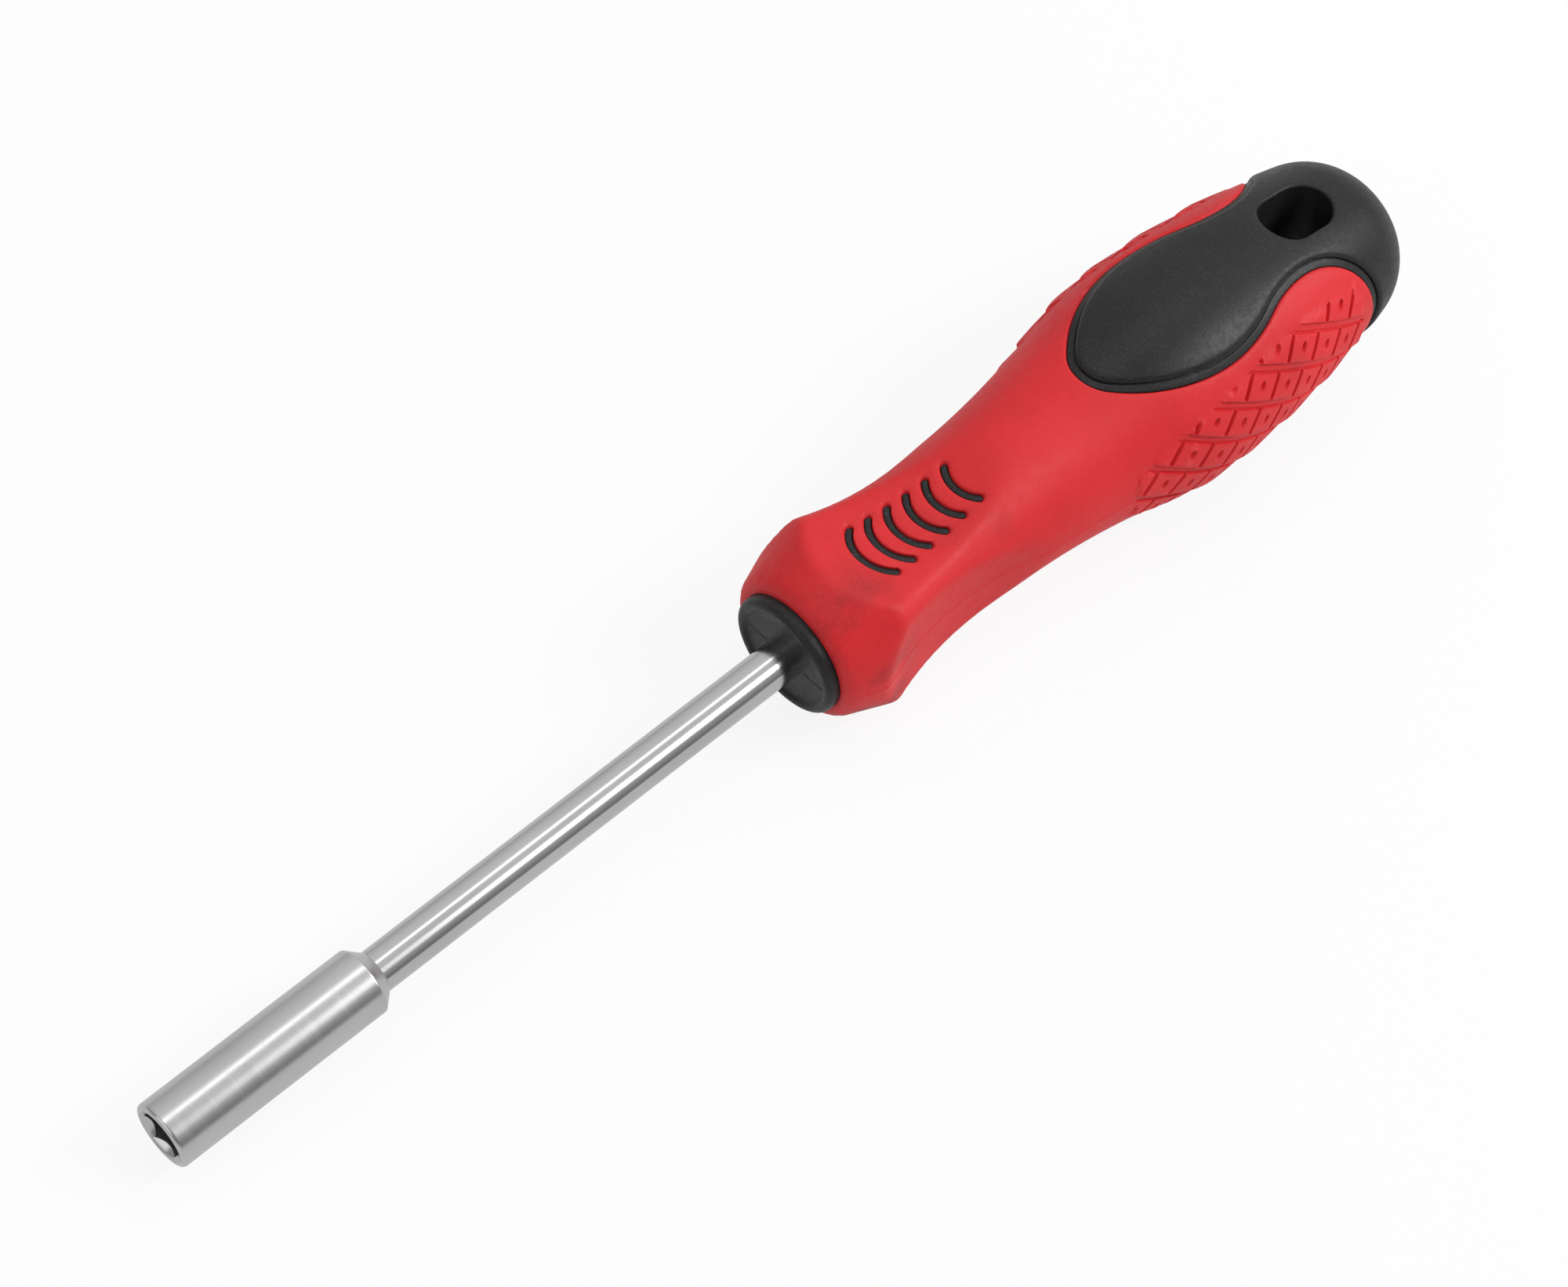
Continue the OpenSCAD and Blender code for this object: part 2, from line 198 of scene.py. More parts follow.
# Mesh spacing: UNROLL is the radius at which the handle is unrolled, the rest are steps and counts
UNROLL = 14.0
CURVE_STEP = 0.45
SLOT_STEP = 0.2
SEAM_STEP = 0.7
PAD_MESH = 0.55
GRIP_MESH = 0.8
PANEL_MESH = 0.9
LINING_MESH = 2.0
HIDDEN_MESH = 2.2
CLEAR_SHARE = 0.55
ARC_LEAST = 8
ARC_FINER = 3
RING = 96
SOCKET_RING = 144
FALL_POINTS = 10
DIMPLE_POINTS = 15
DOME_STEPS = 24
BEAD_POINTS = 15
NOSE_POINTS = 9
FACE_SHARES = (0.0, 0.07, 0.3, 1.0)

# Distances under which points count as one, and angles as nothing
MERGE = 1e-5
WELD = 1e-4
NO_ANGLE = 1e-9


def edge_height(edge, distance):
    """Height of an edge's profile at a distance."""
    return np.interp(distance, [e[0] for e in edge], [e[1] for e in edge])


def chord(radius, reach):
    """Half chord of a circle at a distance from its centre."""
    return np.sqrt(np.maximum(radius * radius - reach * reach, 0.0))


def soft_min(a, b, soft):
    """The lower of two heights, with a rounded edge where they cross."""
    share = np.clip(0.5 + 0.5 * (b - a) / soft, 0.0, 1.0)
    return b + (a - b) * share - soft * share * (1.0 - share)


def form_radius(x, d=0.0):
    """Radius of the round form at a place, d outside the grip's surface."""
    cone = FLANGE_FRONT_R + d * flange_skew + flange_slope * (x - bevel_x)
    into_face = np.clip(FRONT_ROUND - (x - front_x), 0.0, FRONT_ROUND)
    cone = cone - FRONT_ROUND + chord(FRONT_ROUND, into_face)
    front = NECK_R + neck_front_curve - chord(neck_front_curve - d, x - neck_x)
    rear = NECK_R + neck_rear_curve - chord(neck_rear_curve - d, x - neck_x)
    belly_front = BELLY_R - BELLY_FRONT_CURVE + chord(BELLY_FRONT_CURVE + d, x - belly_x)
    belly_rear = rear_c.y + chord(BELLY_REAR_CURVE + d, x - belly_x)
    shoulder = shoulder_c.y + chord(SHOULDER_CURVE + d, x - shoulder_c.x)
    dome = chord(END_CURVE + d, x - end_c.x)
    x1 = belly_x + (BELLY_FRONT_CURVE + d) * belly_lean
    x2 = belly_x + (BELLY_REAR_CURVE + d) * shoulder_lean
    x3 = end_c.x + (END_CURVE + d) * end_lean
    return np.select([x < neck_x, x < x1, x < belly_x, x < x2, x < x3],
                     [soft_min(cone, front, RIDGE_SOFT), rear, belly_front, belly_rear, shoulder], dome)


def scoop_depth(x, d=0.0):
    """Distance of a finger scoop from the axis at a place, d outside the grip's surface."""
    return SCOOP_LOW + SCOOP_CURVE - chord(SCOOP_CURVE - d, x - scoop_x)


def surface_radius(x, angle, d=0.0):
    """Radius of the handle at a place and angle, d outside the grip's surface."""
    radius = form_radius(x, d)
    depth = scoop_depth(x, d)
    for share in (np.abs(np.cos(angle)), np.abs(np.sin(angle))):
        radius = soft_min(radius, depth / np.maximum(share, LEAST_SHARE), SCOOP_SOFT)
    return radius


def in_space(x, angle, radius):
    """Points in space, still in millimetres."""
    return np.stack([x, radius * np.sin(angle), radius * np.cos(angle)], axis=-1)


def panel_inset(x, y):
    """Distance inside the black panel's outline, seen from above; negative on the grip."""
    tip = TIP_R - np.hypot(x - tip_x, y)
    side = SIDE_R - np.hypot(x - side_x, y - side_y)
    waist = np.hypot(x - waist_x, y - waist_y) - waist_r
    lobe = np.hypot(x - waist_x, y - lobe_y) - LOBE_R
    before_side = to_tip.x * (y - side_y) - to_tip.y * (x - side_x) > 0
    before_waist = to_waist.x * (y - side_y) - to_waist.y * (x - side_x) > 0
    return np.select([before_side, before_waist, x < waist_x], [tip, side, waist], lobe)


def slot_arc(i):
    """Centre, half length and half angle of one slot of the neck."""
    half = SLOT_HALF_FIRST + (SLOT_HALF_LAST - SLOT_HALF_FIRST) * i / (SLOT_COUNT - 1)
    return slot_x + i * SLOT_PITCH + SLOT_CURVE, half, math.asin(half / SLOT_CURVE)


def slot_inset(x, y):
    """Distance inside the nearest slot of the neck, seen from above; negative between the slots."""
    nearest = np.full(np.shape(x), -np.inf)
    for i in range(SLOT_COUNT):
        cx, half, spread = slot_arc(i)
        turn = np.abs(np.arctan2(y, cx - x))
        middle = SLOT_W / 2 - np.abs(np.hypot(x - cx, y) - SLOT_CURVE)
        end = SLOT_W / 2 - np.hypot(x - cx + SLOT_CURVE * math.cos(spread), np.abs(y) - half)
        nearest = np.maximum(nearest, np.where(turn < spread, middle, end))
    return nearest


def hole_distance(x, y):
    """Distance from the hanging hole's wall, seen from above; negative inside the hole."""
    beyond = np.maximum(np.abs(x - hole_x) - (HOLE_LEN - HOLE_W) / 2, 0.0)
    return np.hypot(beyond, y) - HOLE_W / 2


def seen_from_above(x, angle):
    """Distance from the middle plane of a point of the surface; the underside counts as the top."""
    folded = np.minimum(angle, math.pi - angle)
    in_scoop = scoop_depth(x) * np.tan(np.minimum(folded, STEEPEST))
    return np.where(x < slots_end, in_scoop, form_radius(x) * np.sin(folded))


def arc(cx, cy, radius, start, end):
    """Points of an arc, closer together than the curve step."""
    count = max(ARC_LEAST, int(abs(end - start) * radius / CURVE_STEP * ARC_FINER))
    turn = np.linspace(start, end, count)
    return np.stack([cx + radius * np.cos(turn), cy + radius * np.sin(turn)], axis=-1)


def resample(points, step=CURVE_STEP):
    """The same line with even spacing, measured on the surface."""
    metric = points * (1.0, UNROLL)
    lengths = np.hypot(*np.diff(metric, axis=0).T)
    place = np.concatenate([[0.0], np.cumsum(lengths)])
    count = max(2, int(round(place[-1] / step)) + 1)
    even = np.linspace(0.0, place[-1], count)
    line = np.stack([np.interp(even, place, points[:, k]) for k in (0, 1)], axis=-1)
    line[0], line[-1] = points[0], points[-1]
    return line


def underside(line):
    """The same line on the lower side of the handle."""
    return np.stack([line[:, 0], math.pi - line[:, 1]], axis=-1)


def panel_line(inset):
    """The black panel's outline drawn in by a distance, over the half surface, from top to underside."""
    tip_turn = math.atan2(to_tip.y, to_tip.x)
    waist_turn = math.atan2(to_waist.y, to_waist.x)
    top = np.concatenate([
        arc(tip_x, 0.0, TIP_R - inset, math.pi, tip_turn),
        arc(side_x, side_y, SIDE_R - inset, tip_turn, waist_turn)[1:],
        arc(waist_x, waist_y, waist_r + inset, waist_turn + math.pi, 1.5 * math.pi)[1:],
        arc(waist_x, lobe_y, LOBE_R + inset, -0.5 * math.pi, 0.25 * math.pi)[1:],
    ])
    radius = form_radius(top[:, 0])
    past = np.argmax(top[:, 1] > radius)
    share = (radius - top[:, 1])[past - 1]
    share = share / (share + (top[:, 1] - radius)[past])
    last_x = top[past - 1, 0] + share * (top[past, 0] - top[past - 1, 0])
    top = top[:past]
    angle = np.arcsin(np.clip(top[:, 1] / radius[:past], 0.0, 1.0))
    angle[0] = 0.0
    line = np.stack([np.append(top[:, 0], last_x), np.append(angle, 0.5 * math.pi)], axis=-1)
    line = resample(line)
    return np.concatenate([line, underside(line)[-2::-1]])


def slot_line(i, inset):
    """Half of a slot's outline drawn in by a distance."""
    cx, half, spread = slot_arc(i)
    grow = SLOT_W / 2 - inset
    line = np.concatenate([
        arc(cx, 0.0, SLOT_CURVE + grow, math.pi, math.pi - spread),
        arc(cx - SLOT_CURVE * math.cos(spread), half, grow, math.pi - spread, -spread)[1:],
        arc(cx, 0.0, SLOT_CURVE - grow, math.pi - spread, math.pi)[1:],
    ])
    angle = np.arctan2(line[:, 1], scoop_depth(line[:, 0]))
    angle[0] = angle[-1] = 0.0
    return resample(np.stack([line[:, 0], angle], axis=-1), SLOT_STEP)


def hole_line(distance):
    """Half of the hanging hole's outline, a distance outside its wall."""
    straight = (HOLE_LEN - HOLE_W) / 2
    radius = HOLE_W / 2 + distance
    line = np.concatenate([
        arc(hole_x - straight, 0.0, radius, math.pi, 0.5 * math.pi),
        arc(hole_x + straight, 0.0, radius, 0.5 * math.pi, 0.0),
    ])
    angle = np.arcsin(line[:, 1] / form_radius(line[:, 0]))
    angle[0] = angle[-1] = 0.0
    return resample(np.stack([line[:, 0], angle], axis=-1))


# The pads lie in slanting rows like shingles: each rises from its upper edge to its lower edge
along_row = np.array([math.cos(ROW_ANGLE), -math.sin(ROW_ANGLE)])
up_rows = np.array([math.sin(ROW_ANGLE), math.cos(ROW_ANGLE)])
row_step = np.array([ROW_PITCH, ROW_RISE]) @ up_rows
row_shift = np.array([ROW_PITCH, ROW_RISE]) @ along_row
side_lean = 1.0 / math.tan(ROW_ANGLE + PAD_ANGLE)
pad_half = 0.5 * PAD_SIDE * math.sin(ROW_ANGLE + PAD_ANGLE)
row_end = row_step - pad_half
SHINGLE_EDGE = ((-pad_half, PAD_LINE), (PAD_LINE_W - pad_half, PAD_TOP),
                (pad_half - CREST_W, PAD_RISE), (pad_half, PAD_RISE - CREST_DROP),
                (pad_half + STEP_W, PAD_VALLEY), (row_end - VALLEY_END, PAD_VALLEY),
                (row_end - VALLEY_LINE_W, PAD_LINE), (row_end, PAD_LINE))


def pad_point(row, beside, down):
    """Place along the axis and distance round the belly of a point of a row of pads."""
    middle = np.array([pad_x, PAD_UP])
    forward = beside + row * row_shift - side_lean * down
    upward = row * row_step - down
    return middle + np.multiply.outer(forward, along_row) + np.multiply.outer(upward, up_rows)


def field_inset(x, z):
    """Distance inside the padded field's outline, seen from the side."""
    long_edge = FIELD_CURVE - np.hypot(x - field_wide_x, np.abs(z) + FIELD_CURVE - FIELD_HALF_W)
    return np.minimum(long_edge, FIELD_HALF_LEN - np.hypot(x - field_x, z))


def belly_height(a):
    """Height over the grip's side of a distance round the belly."""
    return BELLY_R * np.sin(a / BELLY_R)


def belly_to_surface(line):
    """From place and distance round the belly to place and angle."""
    share = belly_height(line[:, 1]) / form_radius(line[:, 0])
    return np.stack([line[:, 0], np.arccos(np.clip(share, -1.0, 1.0))], axis=-1)


def pad_height(x, angle):
    """Height of the pads, with their grooves and dimples, over the grip's surface."""
    z = form_radius(x) * np.cos(angle)
    a = BELLY_R * np.arcsin(np.clip(z / BELLY_R, -1.0, 1.0))
    place = np.stack([x - pad_x, a - PAD_UP], axis=-1)
    row = np.ceil((place @ up_rows - pad_half) / row_step)
    down = row * row_step - place @ up_rows
    forward = place @ along_row - row * row_shift + side_lean * down
    beside = forward - PAD_PITCH * np.round(forward / PAD_PITCH)
    height = edge_height(SHINGLE_EDGE, down)
    groove = edge_height(GROOVE_EDGE, 0.5 * PAD_PITCH - np.abs(beside))
    groove = groove * np.clip((pad_half - np.abs(down)) / GROOVE_FADE, 0.0, 1.0)
    height = height + groove * np.minimum(GROOVE_FLOOR - height, 0.0)
    height = height + edge_height(DIMPLE_EDGE, np.hypot(down / DIMPLE_LONG, beside / DIMPLE_SHORT))
    share = np.clip(field_inset(x, z) / FIELD_FADE, 0.0, 1.0)
    return height * share * share * (3.0 - 2.0 * share)


def in_field(line):
    """The stretches of a line of the pads that lie in the padded field."""
    inside = field_inset(line[:, 0], belly_height(line[:, 1])) > -FIELD_SLACK
    breaks = np.nonzero(np.diff(inside.astype(int)))[0] + 1
    parts = zip(np.split(line, breaks), np.split(inside, breaks))
    return [part for part, kept in parts if kept[0] and len(part) > 1]


def pad_lines():
    """Every line of the pads: edges of the rows, grooves and dimples."""
    lines = []
    sweep = np.arange(-ROW_HALF_LEN, ROW_HALF_LEN, CURVE_STEP)
    fall = np.linspace(-pad_half, pad_half, FALL_POINTS)
    turn = np.linspace(0.0, 2 * math.pi, DIMPLE_POINTS)
    for row in range(-ROWS_EACH_WAY, ROWS_EACH_WAY + 1):
        for down, _ in SHINGLE_EDGE:
            lines += in_field(pad_point(row, sweep, np.full(sweep.shape, down)))
        for pad in range(-PADS_EACH_WAY, PADS_EACH_WAY + 1):
            for offset, _ in GROOVE_EDGE:
                for side in (-1, 1):
                    groove = np.full(fall.shape, (pad + 0.5) * PAD_PITCH + side * offset)
                    lines += in_field(pad_point(row, groove, fall))
            for size, _ in DIMPLE_EDGE[1:]:
                beside = pad * PAD_PITCH + size * DIMPLE_SHORT * np.cos(turn)
                lines += in_field(pad_point(row, beside, size * DIMPLE_LONG * np.sin(turn)))
    return [belly_to_surface(line) for line in lines]


class Sheet:
    """Half of a surface, unrolled: points (place, angle) and lines that its triangles keep."""

    def __init__(self):
        self.points = np.zeros((0, 2))
        self.edges = []

    def line(self, points):
        """Adds a line through points."""
        first = len(self.points)
        self.points = np.concatenate([self.points, points])
        index = list(range(first, first + len(points)))
        self.edges += list(zip(index, index[1:]))

    def ring(self, x):
        """Adds the half ring at a place."""
        angle = np.linspace(0.0, math.pi, RING + 1)
        self.line(np.stack([np.full(angle.shape, x), angle], axis=-1))

    def fill(self, x0, x1, step, keep):
        """Even points over the sheet between the lines, where keep says so."""
        rows = int(round((x1 - x0) / step))
        columns = int(round(math.pi * UNROLL / step))
        grid = []
        for i in range(rows + 1):
            shift = 0.5 * (i % 2)
            turns = np.arange(columns + 1) + shift
            turns = np.unique(np.concatenate([[0.0], turns[turns <= columns], [columns]]))
            angle = turns * math.pi / columns
            angle[-1] = math.pi
            grid.append(np.stack([np.full(angle.shape, x0 + (x1 - x0) * i / rows), angle], axis=-1))
        grid = np.concatenate(grid)
        grid = grid[keep(grid[:, 0], grid[:, 1])]
        tree = KDTree(len(self.points))
        for k, (x, angle) in enumerate(self.points):
            tree.insert((x, angle * UNROLL, 0.0), k)
        tree.balance()
        clear = [tree.find((x, angle * UNROLL, 0.0))[2] > CLEAR_SHARE * step for x, angle in grid]
        self.points = np.concatenate([self.points, grid[np.array(clear, dtype=bool)]])

    def triangles(self, keep):
        """Points and triangles of the sheet, where keep says so for a triangle's middle."""
        flat = [Vector((x, angle * UNROLL)) for x, angle in self.points]
        found = delaunay_2d_cdt(flat, self.edges, [], 0, MERGE)
        points = np.array([self.points[source[0]] if source else (v.x, v.y / UNROLL)
                           for v, source in zip(found[0], found[3])])
        tris = np.array([f for f in found[2] if len(f) == 3])
        middle = points[tris].mean(axis=1)
        return points, tris[keep(middle[:, 0], middle[:, 1])]


def border_edges(tris):
    """Edges with a triangle on one side only, in the direction of that triangle."""
    edges = np.concatenate([tris[:, [0, 1]], tris[:, [1, 2]], tris[:, [2, 0]]])
    known = set(map(tuple, edges.tolist()))
    return [e for e in known if (e[1], e[0]) not in known]


class Solid:
    """Points in millimetres and faces, collected for one piece."""

    def __init__(self):
        self.points = np.zeros((0, 3))
        self.faces = []

    def add(self, points, faces):
        """Adds points, and faces that count from the first of them."""
        first = len(self.points)
        self.points = np.concatenate([self.points, points])
        self.faces += [[first + k for k in face] for face in faces]

    def mirror(self):
        """Adds the other half, beyond the middle plane."""
        flipped = self.points * (1.0, -1.0, 1.0)
        self.add(flipped, [face[::-1] for face in self.faces])

    def turned(self, profile, count=2 * RING):
        """Adds a surface turned round the axis; the profile is a list of (place, radius)."""
        angle = np.arange(count) * 2 * math.pi / count
        self.rings([in_space(np.full(count, x), angle, r) for x, r in profile])

    def rings(self, rows, inward=False):
        """Adds a surface through rings of points, which faces out or in."""
        count = len(rows[0])
        faces = []
        for i in range(len(rows) - 1):
            for k in range(count):
                after = (k + 1) % count
                low, high = i * count, (i + 1) * count
                face = [low + k, high + k, high + after, low + after]
                faces.append(face[:1] + face[:0:-1] if inward else face)
        self.add(np.concatenate(rows), faces)

    def piece(self, name, material, slot, *nodes, sharp=38.0):
        """The finished object, welded, standing for its CAD nodes."""
        keys = np.round(self.points / WELD).astype(np.int64)
        _, first, same = np.unique(keys, axis=0, return_index=True, return_inverse=True)
        same = same.ravel()
        faces = []
        for face in self.faces:
            corners = list(dict.fromkeys(int(same[k]) for k in face))
            if len(corners) > 2:
                faces.append(corners)
        mesh = bpy.data.meshes.new(name)
        mesh.from_pydata((self.points[first] * MM).tolist(), [], faces)
        mesh.polygons.foreach_set("use_smooth", [True] * len(mesh.polygons))
        mesh.set_sharp_from_angle(angle=math.radians(sharp))
        mesh.materials.append(material)
        obj = bpy.data.objects.new(name, mesh)
        bpy.context.scene.collection.objects.link(obj)
        even = obj.modifiers.new("even_shading", "WEIGHTED_NORMAL")
        even.keep_sharp = True
        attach(obj, "root")
        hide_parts(*nodes)
        return obj


# The soft grip
grip_end = lobe_x + PAST_LOBE
face_round = [front_x + FRONT_ROUND * share for share in FACE_SHARES]


def on_grip(x, angle):
    """Whether a point of the surface is red."""
    y = seen_from_above(x, angle)
    return np.where(x < slots_end, slot_inset(x, y) < 0, panel_inset(x, y) < 0)


def on_field(x, angle):
    """Whether a point of the surface has pads."""
    return (field_inset(x, form_radius(x) * np.cos(angle)) > 0) & on_grip(x, angle)


def grip_height(x, angle):
    """Height of the grip over its plain surface: soft edges, mould line and pads."""
    y = seen_from_above(x, angle)
    at_neck = x < slots_end
    outside = -np.where(at_neck, slot_inset(x, y), panel_inset(x, y))
    seam = np.clip(1.0 - np.abs(angle - 0.5 * math.pi) * UNROLL / SEAM_HALF_W, 0.0, 1.0)
    seam = seam * SEAM_RISE * (x < tip_x - TIP_R) * (x > front_x + FRONT_ROUND)
    return edge_height(RED_EDGE, outside) + seam + pad_height(x, angle)


sheet = Sheet()
for x in face_round:
    sheet.ring(x)
for distance, _ in RED_EDGE:
    sheet.line(panel_line(-distance))
    for i in range(SLOT_COUNT):
        half = slot_line(i, -distance)
        sheet.line(half)
        sheet.line(underside(half))
for share in (-1.0, 0.0, 1.0):
    x = np.arange(front_x + 2 * FRONT_ROUND, tip_x - TIP_R, SEAM_STEP)
    angle = np.full(x.shape, 0.5 * math.pi + share * SEAM_HALF_W / UNROLL)
    sheet.line(np.stack([x, angle], axis=-1))
for line in pad_lines():
    sheet.line(line)
sheet.line(np.array([(grip_end, 0.0), (grip_end, math.pi)]))
sheet.fill(field_x - FIELD_HALF_LEN, field_x + FIELD_HALF_LEN, PAD_MESH, on_field)
sheet.fill(front_x, grip_end, GRIP_MESH, on_grip)
flat, tris = sheet.triangles(on_grip)

grip = Solid()
outer = surface_radius(flat[:, 0], flat[:, 1], grip_height(flat[:, 0], flat[:, 1]))
grip.add(in_space(flat[:, 0], flat[:, 1], outer), tris.tolist())


def grip_inside(x, angle):
    """Radius of the grip's inner surface, against the core and the collar."""
    in_collar = np.where(x < front_x + COLLAR_ROOT + GAP, COLLAR_R + GAP, 0.0)
    return np.maximum(surface_radius(x, angle, GAP - GRIP_T), in_collar)


def on_middle_plane(angle):
    """Whether a point lies where the two halves meet."""
    return angle < NO_ANGLE or angle > math.pi - NO_ANGLE


# Its inner surface, and the walls that join it to the outer one round the front, slots and windows
rim = [(a, b) for a, b in border_edges(tris)
       if not (on_middle_plane(flat[a, 1]) and on_middle_plane(flat[b, 1]))]
rim_points = sorted({k for e in rim for k in e})
rim_index = {k: i for i, k in enumerate(rim_points)}
lining = Sheet()
lining.points = flat[rim_points]
lining.edges = [(rim_index[a], rim_index[b]) for a, b in rim]
lining.ring(front_x + COLLAR_ROOT + GAP)
lining.ring(front_x + COLLAR_ROOT + 2 * GAP)
lining.line(np.array([(grip_end, 0.0), (grip_end, math.pi)]))
lining.fill(front_x, grip_end, LINING_MESH, on_grip)
inside, inside_tris = lining.triangles(on_grip)
inner = in_space(inside[:, 0], inside[:, 1], grip_inside(inside[:, 0], inside[:, 1]))
grip.add(inner, inside_tris[:, ::-1].tolist())
rim_x, rim_angle = flat[rim_points].T
edge_out = in_space(rim_x, rim_angle, outer[rim_points])
edge_in = in_space(rim_x, rim_angle, grip_inside(rim_x, rim_angle))
count = len(rim_points)
grip.add(np.concatenate([edge_out, edge_in]),
         [[rim_index[b], rim_index[a], count + rim_index[a], count + rim_index[b]] for a, b in rim])
grip.mirror()

# The black core
core_x = front_x + COLLAR_ROOT
dome_x = cap_x - DOME_LEN


def on_core(x, angle):
    """Whether a point lies outside the hanging hole."""
    return (x < hole_zone_x) | (hole_distance(x, seen_from_above(x, angle)) > 0)


def core_height(x, angle):
    """Height of the core over the grip's surface: ribs, border, panel and the hole's rounded rim."""
    y = seen_from_above(x, angle)
    at_neck = x < slots_end
    ribs = edge_height(RIB_EDGE, slot_inset(x, y))
    panel = edge_height(PANEL_EDGE, panel_inset(x, y))
    rim = np.where(x > hole_zone_x, edge_height(RIM_EDGE, hole_distance(x, y)), 0.0)
    return np.where(at_neck, ribs, panel + rim)


def shown(x, angle):
    """Whether a point of the core is black in the picture, not under the grip."""
    return ~on_grip(x, angle) & on_core(x, angle)


sheet = Sheet()
sheet.ring(core_x)
sheet.ring(dome_x)
for distance, _ in PANEL_EDGE:
    sheet.line(panel_line(distance))
for distance, _ in RIB_EDGE:
    for i in range(SLOT_COUNT):
        half = slot_line(i, distance)
        sheet.line(half)
        sheet.line(underside(half))
for distance, _ in RIM_EDGE:
    half = hole_line(distance)
    sheet.line(half)
    sheet.line(underside(half))
sheet.fill(core_x, dome_x, PANEL_MESH, shown)
sheet.fill(core_x, dome_x, HIDDEN_MESH, on_core)
flat, tris = sheet.triangles(on_core)
core = Solid()
outer = surface_radius(flat[:, 0], flat[:, 1], core_height(flat[:, 0], flat[:, 1]))
core.add(in_space(flat[:, 0], flat[:, 1], outer), tris.tolist())

# The wall of the hanging hole, from the upper rim to the lower one
AT_WALL = 0.05


def place_key(x, angle):
    """A place and angle, rounded so that a point and its image on the underside agree."""
    return round(x, 4), round(angle, 5)


place_of = {place_key(*point): k for k, point in enumerate(flat)}
space = in_space(flat[:, 0], flat[:, 1], outer)
wall = []
for a, b in border_edges(tris):
    x, angle = flat[[a, b]].T
    at_hole = np.all(np.abs(hole_distance(x, seen_from_above(x, angle))) < AT_WALL)
    if at_hole and np.all(angle < 0.5 * math.pi) and np.any(angle != 0.0):
        low_a, low_b = (place_of[place_key(flat[k, 0], math.pi - flat[k, 1])] for k in (a, b))
        wall.append([b, a, low_a, low_b])
core.add(space, wall)
core.mirror()

# The domed end, the collar with its bead, and the bore for the bar
rise = [math.sin(0.5 * math.pi * k / DOME_STEPS) for k in range(DOME_STEPS + 1)]
dome = [dome_x + (cap_x - dome_x) * share for share in rise]
core.turned([(x, float(form_radius(x, PANEL_RISE))) for x in dome] + [(cap_x, 0.0)])
BEAD_R = 0.95
FACE_DROP = 0.5
FACE_MIDDLE_R = 5.5
FILLET_START = 0.25
FILLET_END = 0.06
FILLET_RISE = 0.04
BORE_R = 3.005
COLLAR_STEP = 0.4
COLLAR_LIP = 0.01
bead_c = (collar_x + BEAD_R, COLLAR_R - BEAD_R)
face_x = collar_x + FACE_DROP
bead_start = math.asin((bead_c[0] - face_x) / BEAD_R)
bead = [(bead_c[0] - BEAD_R * math.sin(t), bead_c[1] - BEAD_R * math.cos(t))
        for t in np.linspace(bead_start, math.pi, BEAD_POINTS)]
bead_foot = bead[0][1]
collar = [(tang_x + GAP, 0.0), (tang_x + GAP, BORE_R), (face_x, BORE_R), (face_x, FACE_MIDDLE_R),
          (face_x, bead_foot - FILLET_START), (face_x - FILLET_RISE, bead_foot - FILLET_END)]
collar += bead[1:]
collar += [(front_x - COLLAR_STEP, COLLAR_R), (core_x - COLLAR_LIP, COLLAR_R)]
core.turned(collar)

# The ring behind the collar, where it meets the core under the grip
angle = np.arange(2 * RING) * math.pi / RING
root_x = np.full(angle.shape, core_x)
root_height = core_height(root_x, np.minimum(angle, 2 * math.pi - angle))
core.rings([in_space(root_x - COLLAR_LIP, angle, COLLAR_R),
            in_space(root_x, angle, surface_radius(core_x, angle, root_height))])

# The parting line on the collar's face: a low three-sided ridge on each side of the bar
LINE_HALF_W = 0.1
LINE_RISE = 0.05
LINE_ROOT = 0.1
LINE_FROM_BORE = 0.4
LINE_FROM_BEAD = 0.1
RIDGE_FACES = ((0, 1, 2), (5, 4, 3), (0, 2, 5, 3), (2, 1, 4, 5), (1, 0, 3, 4))
section = ((face_x + LINE_ROOT, -LINE_HALF_W), (face_x + LINE_ROOT, LINE_HALF_W), (face_x - LINE_RISE, 0.0))
for side in (-1, 1):
    ends = side * (BORE_R + LINE_FROM_BORE), side * (bead_foot - LINE_FROM_BEAD)
    ridge = [(x, y, z) for y in ends for x, z in section]
    core.add(np.array(ridge), [face[::-side] for face in RIDGE_FACES])

# The steel socket: rounded nose, rear cone and spigot's bore, then lead-in, hexagon and magnet's pocket
SOCKET_R = 4.75
NOSE_R = 0.6
CONE_LEN = 1.8
BAR_R = 3.0
HEX_AF = 6.4
HEX_DEPTH = 13.0
LEAD_R = 4.0
LEAD_DEPTH = 1.0
LEAD_LIP = 0.04
LIP_LEN = 0.02
LEAD_SHARES = (0.5, 0.96)
HEX_SHARES = (0.3, 0.65, 1.0)
CREASE_LEN = 0.04
CREASE_END = 0.12
CREASE_DROP = 0.005
POCKET_R = 3.02
SPIGOT_R = 2.22
pocket_end = along("socket_magnet")[1] + GAP
cone_x = socket_back_x - CONE_LEN
EDGE_SOFT = 0.12
FRONT_EDGE = ((-2 * EDGE_SOFT, 0.0), (-EDGE_SOFT, -0.01), (0.0, -0.06), (EDGE_SOFT, -0.16))
REAR_EDGE = ((-EDGE_SOFT, 0.14), (0.0, 0.03))
socket = Solid()
nose = [(socket_x + NOSE_R - NOSE_R * math.cos(t), SOCKET_R - NOSE_R + NOSE_R * math.sin(t))
        for t in np.linspace(0.0, 0.5 * math.pi, NOSE_POINTS)]
outside = [(socket_x, LEAD_R + LEAD_LIP)] + nose
